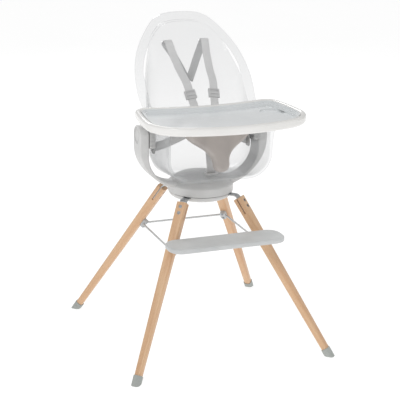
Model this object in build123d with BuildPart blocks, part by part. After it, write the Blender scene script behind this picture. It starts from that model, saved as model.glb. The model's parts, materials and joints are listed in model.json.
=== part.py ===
"""Swivel baby high chair: beech legs, a turning U-shaped yoke, a clear tilting seat and a tray.

The origin is on the floor under the swivel axis. The front of the chair faces -Y,
and its left side, as the child sees it, is +X.
"""
import os
from math import cos, hypot, radians, sin, sqrt

from build123d import *

os.makedirs("parts", exist_ok=True)

# Driving dimensions, in millimetres -------------------------------------------------
foot_spread = 600.0          # between neighbouring foot centres
leg_reach = 87.0             # leg top from the swivel axis, along X and along Y
leg_top_z = 445.0
leg_top_width = 31.0         # across the leg
leg_top_depth = 28.0         # from its inner to its outer face
leg_foot_width = 21.0
leg_foot_depth = 20.0
leg_corner = 6.5
leg_sole_z = 4.0             # wood stops this far above the floor
cap_height = 25.0
cap_wall = 2.2

strap_width = 22.0           # steel bracket between the hub and a leg
strap_thickness = 3.2
strap_bend = 14.0
strap_grip = 47.0            # length inside the leg slot
strap_rise = 7.6             # middle of the flat part above the leg top
strap_inner = 50.0
slot_clearance = 0.2
leg_bolt_drops = (14.0, 33.0)
leg_bolt_shank = 5.8
leg_bolt_head = 10.0
leg_bolt_hole = 6.2
leg_bolt_seat = 10.0         # head seat, from the middle of the leg
hub_screw_places = (58.0, 70.0)
hub_screw_shank = 4.8
hub_screw_head = 9.0
screw_clearance = 0.2

plate_radius = 78.0
plate_thickness = 4.0
bowl_rim_radius = 95.0
bowl_floor_radius = 60.0
bowl_height = 20.0
bowl_wall = 3.0
spindle_radius = 12.0
spindle_flange_radius = 20.0
spindle_flange = 5.0
running_fit = 0.05
bearing_outer = 44.0
bearing_inner = 24.0

drum_radius = 97.0
drum_height = 23.0
drum_wall = 3.5
drum_web = 5.0
drum_gap = 2.0               # between the bowl and the drum
drum_boss_radius = 22.0
drum_boss_height = 11.0
drum_screw_circle = 84.0

yoke_half_width = 199.0
yoke_arm = 28.0              # thickness of an arm along X
yoke_band = 60.0             # width of the band along Y
yoke_arc_drop = 145.0
yoke_inner_corner = 88.0
yoke_edge = 4.0
yoke_floor_rise = 8.0        # inside of the band above the drum
saddle_height = 20.0
saddle_top_radius = 70.0
arm_joint_drop = 38.0        # seam below the pivot
pivot_rise = 155.0           # pivot above the drum top
button_radius = 23.2
button_gap = 0.4
button_depth = 11.0
button_thickness = 5.0
button_sunk = 1.0
pin_radius = 9.0
pin_bore = 5.4
guide_radius = 5.0
spring_wire = 1.2

shell_half = 154.0           # outside of the side walls
shell_wall = 4.0
shell_corner = 65.0
shell_front = -152.0         # from the pivot
shell_floor_front = -104.0   # inside of the floor at the front, from the pivot
shell_floor_slope = 0.13
rim_shelf = 53.0             # level part of the rim above the pivot
rim_thickness = 4.0
rim_lean = 0.742             # back edge of the rim, run for each unit of rise
rim_width = 22.0
lip_width = 6.0
shell_top = 317.0
egg_half = 181.0
seat_slot = 34.0
webbing_width = 25.0
webbing = 1.8

tray_front = -309.0
tray_back = -46.0
tray_half = 237.0
tray_widest_y = -208.0
tray_front_radius = 534.0
tray_side_radius = 782.0
tray_rear_radius = 642.0
tray_front_corner = 105.0
tray_rear_corner = 42.0
tray_rise = 62.0             # underside above the pivot
tray_height = 25.0
tray_floor = 3.0
tray_rim = 17.0
insert_gap = 0.4
insert_wall = 3.0
cup_radius = 37.0

wire_radius = 3.0
wire_half = 136.0
wire_z = 320.0
board_half = 176.5
board_depth = 95.0
board_thickness = 13.0
board_top = 363.0
board_corner = 38.0
board_back_gap = 2.0

# Levels that follow -----------------------------------------------------------------
strap_z = leg_top_z + strap_rise
strap_low = strap_z - strap_thickness / 2
strap_high = strap_z + strap_thickness / 2
bowl_top = strap_high + 0.4
bowl_low = bowl_top - bowl_height
drum_low = bowl_top + drum_gap
drum_top = drum_low + drum_height
web_low = drum_low + 1.4
pivot_z = drum_top + pivot_rise
tray_low = pivot_z + tray_rise
leg_run = (foot_spread / 2 - leg_reach) * sqrt(2)
leg_length = hypot(leg_run, leg_top_z)
lean_out = leg_run / leg_length
lean_up = leg_top_z / leg_length
arm_inner = yoke_half_width - yoke_arm

CORNERS = {
    "front_left": (1, -1),
    "front_right": (-1, -1),
    "rear_left": (1, 1),
    "rear_right": (-1, 1),
}
SIDES = {"left": 1, "right": -1}


def save(piece, name):
    """Label a finished piece and write it to its own file."""
    piece.part.label = name
    export_step(piece.part, f"parts/{name}.step")


def disc(radius, low, high, mode=Mode.ADD):
    """Upright cylinder on the swivel axis, in the current part."""
    with BuildSketch(Plane.XY.offset(low)) as outline:
        Circle(radius)
    extrude(outline.sketch, amount=high - low, mode=mode)


def rod(plane, radius, start, end, mode=Mode.ADD):
    """Cylinder along a plane's normal, between two offsets from the plane."""
    with BuildSketch(plane.offset(start)) as outline:
        Circle(radius)
    extrude(outline.sketch, amount=end - start, mode=mode)


# Legs -------------------------------------------------------------------------------
def leg_plane(side, end, along):
    """Plane square to a leg, X across the leg and Y outward, `along` mm up its axis."""
    out = Vector(side, end, 0).normalized()
    axis = Vector(0, 0, lean_up) - out * lean_out
    foot = Vector(side, end, 0) * (foot_spread / 2)
    return Plane(origin=foot + axis * along, x_dir=(end, -side, 0), z_dir=axis)


def face_plane(side, end, along):
    """Plane through a leg's axis, whose normal points out of the leg's outer face."""
    square = leg_plane(side, end, along)
    return Plane(origin=square.origin, x_dir=square.x_dir, z_dir=square.y_dir)


def leg_loft(side, end, start, stop, grow=0.0):
    """Tapered rounded bar along a leg between two places on its axis."""
    sections = []
    for along in (start, stop):
        share = along / leg_length
        width = leg_foot_width + (leg_top_width - leg_foot_width) * share
        depth = leg_foot_depth + (leg_top_depth - leg_foot_depth) * share
        with BuildSketch(leg_plane(side, end, along)) as section:
            RectangleRounded(width + 2 * grow, depth + 2 * grow, leg_corner + grow)
        sections.append(section.sketch.faces()[0])
    loft(sections)


clip_reach = 12.0            # thickness of a wire clip
clip_length = 26.0
clip_width = 18.0
clip_screw_gap = 8.5
clip_screw_shank = 3.6
clip_screw_depth = 9.0
leg_share = (wire_z + 11) / leg_top_z
clip_face = (leg_foot_depth + (leg_top_depth - leg_foot_depth) * leg_share) / 2 + 0.15
clip_along = (wire_z + (clip_face + clip_reach / 2) * lean_out) / lean_up
clip_places = (clip_along - clip_screw_gap, clip_along + clip_screw_gap)

for name, (side, end) in CORNERS.items():
    with BuildPart() as leg:
        leg_loft(side, end, -leg_corner, leg_length)
        split(bisect_by=Plane.XY.offset(leg_sole_z), keep=Keep.TOP)
        with BuildSketch(leg_plane(side, end, leg_length)):
            Rectangle(2 * leg_top_width, strap_thickness + 2 * slot_clearance)
        extrude(amount=-(strap_grip + 3), mode=Mode.SUBTRACT)
        for drop in leg_bolt_drops:
            bolt = face_plane(side, end, leg_length - drop)
            rod(bolt, leg_bolt_hole / 2, -leg_top_depth, leg_top_depth, Mode.SUBTRACT)
            for way in (1, -1):
                pocket = leg_bolt_head / 2 + 2 * screw_clearance
                rod(bolt, pocket, way * leg_bolt_seat, way * leg_top_depth, Mode.SUBTRACT)
        for place in clip_places:
            rod(face_plane(side, end, place), clip_screw_shank / 2,
                -clip_face - 2, -clip_face + clip_screw_depth, Mode.SUBTRACT)
    save(leg, f"leg_{name}")

    with BuildPart() as cap:
        leg_loft(side, end, -2 * leg_corner, cap_height, grow=cap_wall)
        split(bisect_by=Plane.XY, keep=Keep.TOP)
        add(leg.part, mode=Mode.SUBTRACT)
    save(cap, f"foot_cap_{name}")

hub_screw_spots = [
    (side * place / sqrt(2), end * place / sqrt(2))
    for side, end in CORNERS.values()
    for place in hub_screw_places
]
leg_top_out = leg_reach * sqrt(2)
bend_out = leg_top_out - strap_rise * lean_out / lean_up
with BuildPart() as leg_brackets:
    for side, end in CORNERS.values():
        radial = Plane(origin=(0, 0, 0), x_dir=(side, end, 0), z_dir=(end, -side, 0))
        with BuildSketch(radial):
            with BuildLine():
                FilletPolyline(
                    (strap_inner, strap_z),
                    (bend_out, strap_z),
                    (leg_top_out + strap_grip * lean_out, leg_top_z - strap_grip * lean_up),
                    radius=strap_bend,
                )
            trace(line_width=strap_thickness)
        extrude(amount=strap_width / 2, both=True)
        for drop in leg_bolt_drops:
            bolt = face_plane(side, end, leg_length - drop)
            rod(bolt, leg_bolt_hole / 2, -strap_thickness, strap_thickness, Mode.SUBTRACT)
    with BuildSketch(Plane.XY.offset(strap_high)):
        with Locations(hub_screw_spots):
            Circle(hub_screw_shank / 2 + screw_clearance)
    extrude(amount=-2 * strap_thickness, mode=Mode.SUBTRACT)
save(leg_brackets, "leg_brackets")

bolt_head_height = 3.2
nut_thickness = 3.0
with BuildPart() as leg_bolts:
    for side, end in CORNERS.values():
        for drop in leg_bolt_drops:
            bolt = face_plane(side, end, leg_length - drop)
            rod(bolt, leg_bolt_head / 2, leg_bolt_seat, leg_bolt_seat + bolt_head_height)
            rod(bolt, leg_bolt_shank / 2, -leg_bolt_seat - nut_thickness, leg_bolt_seat)
            with BuildSketch(bolt.offset(leg_bolt_seat + bolt_head_height)):
                RegularPolygon(radius=2.6, side_count=6)
            extrude(amount=-2, mode=Mode.SUBTRACT)
save(leg_bolts, "leg_bolts")

with BuildPart() as leg_nuts:
    for side, end in CORNERS.values():
        for drop in leg_bolt_drops:
            bolt = face_plane(side, end, leg_length - drop)
            with BuildSketch(bolt.offset(-leg_bolt_seat)):
                RegularPolygon(radius=leg_bolt_head / 2, side_count=6)
                Circle(leg_bolt_shank / 2 + running_fit, mode=Mode.SUBTRACT)
            extrude(amount=-nut_thickness)
save(leg_nuts, "leg_nuts")

# Hub --------------------------------------------------------------------------------
plate_low = strap_low - plate_thickness
flange_low = plate_low - spindle_flange
bowl_screw_shank = 5.0

with BuildPart() as hub_plate:
    disc(plate_radius, plate_low, strap_low)
    disc(spindle_radius + running_fit, plate_low, strap_low, Mode.SUBTRACT)
    with BuildSketch(Plane.XY.offset(strap_low)):
        with Locations(hub_screw_spots):
            Circle(hub_screw_shank / 2 + running_fit)
    extrude(amount=-plate_thickness, mode=Mode.SUBTRACT)
save(hub_plate, "hub_plate")

hub_head_height = 1.8
with BuildPart() as hub_screws:
    with BuildSketch(Plane.XY.offset(strap_high)):
        with Locations(hub_screw_spots):
            Circle(hub_screw_head / 2)
    extrude(amount=hub_head_height)
    with BuildSketch(Plane.XY.offset(strap_high)):
        with Locations(hub_screw_spots):
            Circle(hub_screw_shank / 2)
    extrude(amount=-(strap_thickness + plate_thickness + 1.5))
save(hub_screws, "hub_screws")

nut_low = web_low + drum_web + drum_boss_height + 2.2
with BuildPart() as hub_spindle:
    disc(spindle_flange_radius, flange_low, plate_low)
    disc(spindle_radius, plate_low, nut_low + 9)
    disc(bowl_screw_shank / 2 + running_fit, flange_low, flange_low + 14, Mode.SUBTRACT)
    chamfer(hub_spindle.edges().group_by(Axis.Z)[-1], 1)
save(hub_spindle, "hub_spindle")

with BuildPart() as swivel_bearing:
    disc(bearing_outer, strap_low, web_low - 0.1)
    disc(bearing_inner, strap_low, web_low - 0.1, Mode.SUBTRACT)
    chamfer(swivel_bearing.edges().group_by(Axis.Z)[-1], 0.6)
save(swivel_bearing, "swivel_bearing")

with BuildPart() as spindle_nut:
    with BuildSketch(Plane.XY.offset(nut_low)):
        RegularPolygon(radius=19, side_count=6)
    extrude(amount=7)
    disc(21, nut_low - 2, nut_low)
    disc(spindle_radius + running_fit, nut_low - 2, nut_low + 7, Mode.SUBTRACT)
save(spindle_nut, "spindle_nut")

bowl_rise = bowl_rim_radius - bowl_floor_radius
with BuildPart() as hub_bowl:
    with BuildSketch(Plane.XZ):
        with BuildLine():
            Line((0, bowl_low), (bowl_floor_radius, bowl_low))
            EllipticalCenterArc((bowl_floor_radius, bowl_top), bowl_rise, bowl_height,
                                start_angle=270, arc_size=90)
            Line((bowl_rim_radius, bowl_top), (bowl_rim_radius - bowl_wall, bowl_top))
            EllipticalCenterArc((bowl_floor_radius, bowl_top), bowl_rise - bowl_wall,
                                bowl_height - bowl_wall, start_angle=270, arc_size=90)
            Line((bowl_floor_radius, bowl_low + bowl_wall), (0, bowl_low + bowl_wall))
            Line((0, bowl_low + bowl_wall), (0, bowl_low))
        make_face()
    revolve(axis=Axis.Z)
    disc(12, bowl_low + bowl_wall, flange_low)
    disc(bowl_screw_shank / 2 + running_fit, bowl_low, flange_low, Mode.SUBTRACT)
    for side, end in CORNERS.values():
        radial = Plane(origin=(0, 0, 0), x_dir=(side, end, 0), z_dir=(end, -side, 0))
        with BuildSketch(radial):
            with Locations((bowl_rim_radius, bowl_top)):
                Rectangle(4 * bowl_wall, 2 * (bowl_top - strap_low + 0.2))
        extrude(amount=strap_width / 2 + 0.4, both=True, mode=Mode.SUBTRACT)
save(hub_bowl, "hub_bowl")

with BuildPart() as bowl_screw:
    disc(bowl_screw_shank, bowl_low - 2.4, bowl_low)
    disc(bowl_screw_shank / 2, bowl_low, flange_low + 12)
    fillet(bowl_screw.edges().group_by(Axis.Z)[0], 1)
save(bowl_screw, "bowl_screw")

# Wire stretcher and footrest ---------------------------------------------------------
with BuildPart() as stretcher_wire:
    with BuildLine(Plane.XY.offset(wire_z)) as loop:
        with BuildSketch(mode=Mode.PRIVATE) as loop_shape:
            RectangleRounded(2 * wire_half, 2 * wire_half, 20)
        add(loop_shape.sketch.faces()[0].outer_wire().edges())
    with BuildSketch(Plane(origin=(0, wire_half, wire_z), z_dir=(1, 0, 0))):
        Circle(wire_radius)
    sweep(path=loop.wires()[0])
save(stretcher_wire, "stretcher_wire")

with BuildPart() as wire_clips:
    for side, end in CORNERS.values():
        inner = face_plane(side, end, clip_along).offset(-clip_face)
        with BuildSketch(inner):
            RectangleRounded(clip_width, clip_length, 4)
        extrude(amount=-clip_reach)
        for place in clip_places:
            rod(face_plane(side, end, place), clip_screw_shank / 2 + running_fit,
                -clip_face - clip_reach - 1, -clip_face + 1, Mode.SUBTRACT)
    add(stretcher_wire.part, mode=Mode.SUBTRACT)
save(wire_clips, "wire_clips")

with BuildPart() as clip_screws:
    for side, end in CORNERS.values():
        for place in clip_places:
            head = face_plane(side, end, place)
            seat = -clip_face - clip_reach
            rod(head, clip_screw_shank, seat - 2, seat)
            rod(head, clip_screw_shank / 2, seat, -clip_face + clip_screw_depth - 1)
save(clip_screws, "clip_screws")

leg_slope = (foot_spread / 2 - leg_reach) / leg_top_z
board_low_level = board_top - board_thickness
leg_reach_front = 21.0        # half of a leg's level section, toward the front
leg_front_at_board = foot_spread / 2 - board_low_level * leg_slope + leg_reach_front
board_back = -leg_front_at_board - board_back_gap
board_middle = board_back - board_depth / 2
board_low = board_low_level
tab_x = 98.0
tab_width = 24.0
tab_sheet = 3.0
tab_screw_shank = 4.0
tab_screw_spots = [
    (way * tab_x, board_back - setback)
    for way in SIDES.values()
    for setback in (22, 70)
]

with BuildPart() as footrest_board:
    with BuildSketch(Plane.XY.offset(board_low)):
        with Locations((0, board_middle)):
            RectangleRounded(2 * board_half, board_depth, board_corner)
    extrude(amount=board_thickness)
    fillet(footrest_board.edges().group_by(Axis.Z)[-1], 4)
    fillet(footrest_board.edges().group_by(Axis.Z)[0], 2.5)
    with BuildSketch(Plane.XY.offset(board_low)):
        with Locations(tab_screw_spots):
            Circle(tab_screw_shank / 2 + running_fit)
    extrude(amount=9, mode=Mode.SUBTRACT)
save(footrest_board, "footrest_board")

with BuildPart() as footrest_brackets:
    for way in SIDES.values():
        with BuildSketch(Plane.YZ.offset(way * tab_x)):
            with BuildLine():
                FilletPolyline(
                    (board_back - board_depth + 10, board_low - tab_sheet / 2),
                    (-wire_half + wire_radius + tab_sheet / 2, board_low - tab_sheet / 2),
                    (-wire_half + wire_radius + tab_sheet / 2, wire_z),
                    radius=6,
                )
            trace(line_width=tab_sheet)
            with Locations((-wire_half, wire_z)):
                Circle(wire_radius + tab_sheet)
                Circle(wire_radius, mode=Mode.SUBTRACT)
        extrude(amount=tab_width / 2, both=True)
    with BuildSketch(Plane.XY.offset(board_low)):
        with Locations(tab_screw_spots):
            Circle(tab_screw_shank / 2 + running_fit)
    extrude(amount=-2 * tab_sheet, mode=Mode.SUBTRACT)
save(footrest_brackets, "footrest_brackets")

with BuildPart() as footrest_screws:
    for radius, low, high in (
        (tab_screw_shank, board_low - tab_sheet - 2.2, board_low - tab_sheet),
        (tab_screw_shank / 2, board_low - tab_sheet, board_low + 8),
    ):
        with BuildSketch(Plane.XY.offset(low)):
            with Locations(tab_screw_spots):
                Circle(radius)
        extrude(amount=high - low)
save(footrest_screws, "footrest_screws")

# Swivel drum and yoke ----------------------------------------------------------------
drum_screw_spots = [
    (drum_screw_circle, 0), (-drum_screw_circle, 0), (0, drum_screw_circle), (0, -drum_screw_circle),
]
drum_screw_shank = 4.8
drum_screw_head_radius = 4.3

with BuildPart() as swivel_drum:
    disc(drum_radius, drum_low, drum_top)
    disc(drum_radius - drum_wall, drum_low, web_low, Mode.SUBTRACT)
    disc(drum_radius - drum_wall, web_low + drum_web, drum_top, Mode.SUBTRACT)
    disc(drum_boss_radius, web_low + drum_web, web_low + drum_web + drum_boss_height)
    disc(spindle_radius + running_fit, drum_low, drum_top, Mode.SUBTRACT)
    with BuildSketch(Plane.XY.offset(web_low + drum_web)):
        with Locations(drum_screw_spots):
            Circle(drum_screw_shank)
    extrude(amount=drum_top - web_low - drum_web)
    with BuildSketch(Plane.XY.offset(drum_low)):
        with Locations(drum_screw_spots):
            Circle(drum_screw_shank / 2 + running_fit)
    extrude(amount=drum_height, mode=Mode.SUBTRACT)
save(swivel_drum, "swivel_drum")

arm_joint_z = pivot_z - arm_joint_drop
arc_middle = arm_joint_z + 3
arm_screw_spots = [
    (way * (yoke_half_width + arm_inner) / 2, row)
    for way in SIDES.values()
    for row in (-17, 17)
]
arm_screw_shank = 3.9
arm_screw_reach = 9.0        # to each side of the seam
yoke_floor = drum_top + yoke_floor_rise
saddle_top = drum_top + saddle_height


def on_outer_arc(point):
    """Whether a point of the yoke band lies on its outer curve."""
    return hypot(point.X / yoke_half_width, (point.Z - arc_middle) / yoke_arc_drop) > 0.99


with BuildPart() as yoke:
    with BuildSketch(Plane.XZ):
        with Locations((0, arc_middle)):
            Ellipse(yoke_half_width, yoke_arc_drop)
        with Locations((0, yoke_floor + yoke_half_width)):
            RectangleRounded(2 * arm_inner, 2 * yoke_half_width, yoke_inner_corner,
                             mode=Mode.SUBTRACT)
        with Locations((0, arm_joint_z + yoke_half_width)):
            Rectangle(3 * yoke_half_width, 2 * yoke_half_width, mode=Mode.SUBTRACT)
    extrude(amount=yoke_band / 2, both=True)
    for outer in (False, True):
        rims = yoke.edges().filter_by(
            lambda edge: abs(edge.center().Z - arm_joint_z) > 1
            and abs(abs(edge.center().Y) - yoke_band / 2) < 0.001
            and on_outer_arc(edge @ 0.5) == outer)
        fillet(rims, yoke_edge)
    with BuildSketch(Plane.XZ):
        with BuildLine():
            Polyline((0, drum_top), (drum_radius - 1, drum_top), (drum_radius - 3, drum_top + 3),
                     (saddle_top_radius, saddle_top), (0, saddle_top), close=True)
        make_face()
    revolve(axis=Axis.Z)
    disc(drum_radius + 0.1, drum_low - yoke_arc_drop, drum_top, Mode.SUBTRACT)
    disc(26, drum_top, drum_top + 12, Mode.SUBTRACT)
    with BuildSketch(Plane.XY.offset(drum_top)):
        with Locations(drum_screw_spots):
            Circle(drum_screw_shank / 2 + running_fit)
    extrude(amount=7, mode=Mode.SUBTRACT)
    with BuildSketch(Plane.XY.offset(arm_joint_z)):
        with Locations(arm_screw_spots):
            Circle(arm_screw_shank / 2 + running_fit)
    extrude(amount=-arm_screw_reach - 1, mode=Mode.SUBTRACT)
save(yoke, "yoke")

with BuildPart() as drum_screws:
    for radius, low, high in (
        (drum_screw_head_radius, web_low - 2.2, web_low),
        (drum_screw_shank / 2, web_low, drum_top + 6),
    ):
        with BuildSketch(Plane.XY.offset(low)):
            with Locations(drum_screw_spots):
                Circle(radius)
        extrude(amount=high - low)
save(drum_screws, "drum_screws")

# Arm heads, recline buttons and pivots -------------------------------------------------
recess_floor = yoke_half_width - button_depth
button_face = yoke_half_width - button_sunk
button_back = button_face - button_thickness
pin_end = recess_floor - 0.2
pin_start = shell_half + 2

for name, way in SIDES.items():
    with BuildPart() as arm_head:
        with BuildSketch(Plane.YZ.offset(way * arm_inner)):
            with Locations((0, pivot_z)):
                Circle(yoke_band / 2)
            with Locations((0, pivot_z - arm_joint_drop / 2)):
                Rectangle(yoke_band, arm_joint_drop)
        extrude(amount=way * yoke_arm)
        fillet(arm_head.edges().filter_by(
            lambda edge: abs(edge.center().Z - arm_joint_z) > 0.5
            and abs(abs(edge.center().X) - way * edge.center().X) < 1
            and abs(abs(edge.center().X) - (arm_inner + yoke_half_width) / 2) > 5), 4)
        outward = Plane(origin=(0, 0, pivot_z), x_dir=(0, way, 0), z_dir=(way, 0, 0))
        rod(outward, button_radius + button_gap, recess_floor, yoke_half_width + 1, Mode.SUBTRACT)
        rod(outward, pin_radius + running_fit, arm_inner - 1, recess_floor + 1, Mode.SUBTRACT)
        with BuildSketch(Plane.XY.offset(arm_joint_z)):
            with Locations(arm_screw_spots):
                Circle(arm_screw_shank / 2 + running_fit)
        extrude(amount=arm_screw_reach + 1, mode=Mode.SUBTRACT)
    save(arm_head, f"arm_head_{name}")

    with BuildPart() as recline_button:
        outward = Plane(origin=(0, 0, pivot_z), x_dir=(0, way, 0), z_dir=(way, 0, 0))
        rod(outward, button_radius, button_back, button_face)
        fillet(recline_button.edges().filter_by(GeomType.CIRCLE).sort_by(
            lambda edge: abs(edge.center().X))[-1], 1.2)
        with BuildSketch(outward.offset(button_face)):
            Circle(button_radius - 4)
            Circle(button_radius - 6.5, mode=Mode.SUBTRACT)
        extrude(amount=-1, mode=Mode.SUBTRACT)
        rod(outward, guide_radius, button_back - 24, button_back)
    save(recline_button, f"recline_button_{name}")

    spring_radius = 14.0
    coil_height = button_back - recess_floor - spring_wire - 0.2
    with BuildPart() as button_spring:
        start_x = recess_floor + spring_wire / 2 + 0.1
        with BuildLine() as coil:
            Helix(pitch=coil_height / 2, height=coil_height, radius=spring_radius,
                  center=(way * start_x, 0, pivot_z), direction=(way, 0, 0))
        with BuildSketch(Plane(origin=coil.line @ 0, z_dir=coil.line % 0)):
            Circle(spring_wire / 2)
        sweep(path=coil.line, is_frenet=True)
    save(button_spring, f"button_spring_{name}")

with BuildPart() as pivot_pins:
    for way in SIDES.values():
        outward = Plane(origin=(0, 0, pivot_z), x_dir=(0, way, 0), z_dir=(way, 0, 0))
        rod(outward, pin_radius, pin_start, pin_end)
        rod(outward, pin_bore, pin_start, pin_end, Mode.SUBTRACT)
save(pivot_pins, "pivot_pins")

with BuildPart() as arm_screws:
    with BuildSketch(Plane.XY.offset(arm_joint_z)):
        with Locations(arm_screw_spots):
            Circle(arm_screw_shank / 2)
    extrude(amount=arm_screw_reach, both=True)
save(arm_screws, "arm_screws")

# Clear seat shell ----------------------------------------------------------------------
far_front = shell_front - 120
heel_y = 70.0
floor_z = pivot_z - 122.0    # inside of the floor under the pivot
knee_y, knee_rise = 118.0, 207.0
back_radius = 250.0
heel_radius = 80.0
rim_elbow = 110.0
rim_toe = 32.0
shelf_z = pivot_z + rim_shelf
shelf_back = 2.0
top_z = pivot_z + shell_top
above = top_z + 60


def lean_y(rise_from_z, z, start_y):
    """Y of the leaning back edge at a height."""
    return start_y + rim_lean * (z - rise_from_z)


def parallel_course(corners, distance):
    """Corners of the line that runs `distance` to the left of another one."""
    runs = [(b - a).normalized() for a, b in zip(corners, corners[1:])]
    starts = [a + Vector(-run.Y, run.X) * distance for a, run in zip(corners, runs)]
    moved = [starts[0]]
    for here, run, there, next_run in zip(starts, runs, starts[1:], runs[1:]):
        along = (there - here).cross(next_run).Z / run.cross(next_run).Z
        moved.append(here + run * along)
    moved.append(corners[-1] + Vector(-runs[-1].Y, runs[-1].X) * distance)
    return moved


pan_corners = [
    Vector(lean_y(pivot_z + knee_rise, above, knee_y), above),
    Vector(knee_y, pivot_z + knee_rise),
    Vector(heel_y, floor_z - shell_floor_slope * heel_y),
    Vector(far_front, floor_z - shell_floor_slope * far_front),
]


def pan_side(wall):
    """Side view of the bucket, `wall` outside its inner faces."""
    course = parallel_course(pan_corners, wall)
    with BuildSketch(Plane.YZ) as side_view:
        with BuildLine():
            bend = FilletPolyline(*[(corner.X, corner.Y) for corner in course],
                                  radius=(back_radius - wall, heel_radius + wall))
            Polyline(bend @ 1, (far_front - wall, above), bend @ 0)
        make_face()
    return side_view.sketch


lip_half = shell_half + lip_width
lip_corner = shell_corner + lip_width
lip_low = floor_z - shell_floor_slope * shell_front - shell_wall - lip_width
EGG_PLACES = (               # narrower than the widest part, above the pivot, facing in degrees
    (0.0, 107.0, 0.0),
    (22.0, 215.0, 24.0),
    (76.0, 285.0, 51.0),
)


def rim_outline(inset=0.0):
    """Front outline of the rim, drawn in from its outer edge."""
    half = lip_half - inset
    corner = lip_corner - inset
    low = lip_low + inset
    egg = [
        (egg_half - narrower - inset * cos(radians(facing)),
         pivot_z + rise - inset * sin(radians(facing)))
        for narrower, rise, facing in EGG_PLACES
    ]
    with BuildSketch(Plane.XZ) as outline:
        with BuildLine():
            Line((0, low), (half - corner, low))
            CenterArc((half - corner, low + corner), corner, 270, 90)
            Spline((half, low + corner), *egg, (0, top_z - inset), tangents=((0, 1), (-1, 0)))
            Line((0, top_z - inset), (0, low))
        make_face()
        mirror(about=Plane.YZ)
    return outline.sketch


def bucket_outline(inset, half):
    """Front outline of the bucket: straight walls with an egg-shaped top."""
    with BuildSketch(Plane.XZ) as trimmed:
        add(rim_outline(inset))
        with Locations((0, joint_z - 300)):
            Rectangle(2 * half, 600)
    return trimmed.sketch


joint_z = pivot_z + 130
bucket_solids = {}
for name, wall in (("outside", shell_wall), ("inside", 0.0)):
    half = shell_half - shell_wall + wall
    corner = shell_corner - shell_wall + wall
    with BuildPart() as bucket:
        extrude(pan_side(wall), amount=half, both=True)
        far = far_front - wall
        fillet(bucket.edges().filter_by(
            lambda edge: abs(abs(edge.center().X) - half) < 0.01
            and edge.center().Z < above - 1
            and edge.center().Y > far + 1), corner)
        extrude(bucket_outline(rim_width + shell_wall - wall, half), amount=500, both=True,
                mode=Mode.INTERSECT)
    bucket_solids[name] = bucket.part

with BuildSketch(Plane.YZ) as rim_strip:
    with BuildLine() as rim_path:
        FilletPolyline(
            (lean_y(shelf_z, above, shelf_back), above),
            (shelf_back, shelf_z),
            (shell_front, shelf_z),
            (shell_front, floor_z - 60),
            radius=(rim_elbow, rim_toe),
        )
    trace(line_width=rim_thickness)
with BuildSketch(Plane.YZ) as rim_front:
    with BuildLine():
        add(rim_path.line)
        Polyline(rim_path.line @ 1, (far_front - 40, floor_z - 60), (far_front - 40, above + 40),
                 (lean_y(shelf_z, above, shelf_back), above + 40), rim_path.line @ 0)
    make_face()
rim_overlap = 3.0            # of the flange over the thickness of the bucket's wall
opening_low = lip_low + lip_width + rim_overlap
with BuildSketch(Plane.XZ) as rim_opening:
    with Locations((0, (opening_low + above) / 2)):
        RectangleRounded(2 * (shell_half - rim_overlap), above - opening_low,
                         shell_corner - rim_overlap)
    with BuildSketch(Plane.XZ, mode=Mode.INTERSECT):
        add(rim_outline(rim_width + rim_overlap))
        with Locations((0, joint_z - 300)):
            Rectangle(2 * shell_half, 600)

with BuildPart() as rim_flange:
    extrude(rim_strip.sketch, amount=2 * shell_half, both=True)
    extrude(rim_outline(), amount=500, both=True, mode=Mode.INTERSECT)
    extrude(rim_opening.sketch, amount=500, both=True, mode=Mode.SUBTRACT)

block_screws = [(row, rise) for row in (-20, 20) for rise in (-24, 24)]
block_screw_shank = 4.0
block_screw_depth = 8.0
shoulder_x = 58.0
shoulder_z = pivot_z + 239
lean_length = hypot(1, rim_lean)
back_normal = Vector(0, -1, rim_lean) / lean_length
shoulder_y = lean_y(pivot_z + knee_rise, shoulder_z, knee_y) + 3
crotch_y = -83.0
crotch_z = floor_z - shell_floor_slope * crotch_y
with BuildPart() as seat_shell:
    add(bucket_solids["outside"])
    add(bucket_solids["inside"], mode=Mode.SUBTRACT)
    extrude(rim_front.sketch, amount=2 * shell_half, both=True, mode=Mode.SUBTRACT)
    add(rim_flange.part)
    for way in SIDES.values():
        shoulder = Plane(origin=(way * shoulder_x, shoulder_y, shoulder_z), x_dir=(1, 0, 0),
                         z_dir=back_normal)
        with BuildSketch(shoulder) as slot_shape:
            SlotOverall(seat_slot, 7)
        extrude(slot_shape.sketch, amount=30, both=True, mode=Mode.SUBTRACT)
    with BuildSketch(Plane.XY.offset(crotch_z)) as slot_shape:
        with Locations((0, crotch_y)):
            SlotOverall(seat_slot, 6)
    extrude(slot_shape.sketch, amount=20, both=True, mode=Mode.SUBTRACT)
    with BuildSketch(Plane.YZ) as wall_holes:
        with Locations([(row, pivot_z + rise) for row, rise in block_screws]):
            Circle(block_screw_shank / 2 + running_fit)
    extrude(wall_holes.sketch, amount=2 * shell_half, both=True, mode=Mode.SUBTRACT)
save(seat_shell, "seat_shell")

# Seat brackets, pivots and tray tracks -------------------------------------------------
block_depth = 72.0
block_low = pivot_z - 36.0
block_high = pivot_z + 36.0
block_outer = arm_inner - 1.5
track_inner = 164.0
track_out = 186.0
track_height = 7.0
track_high = shelf_z - rim_thickness / 2
track_low = track_high - track_height
track_y = (-119.0, -52.0)

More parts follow.
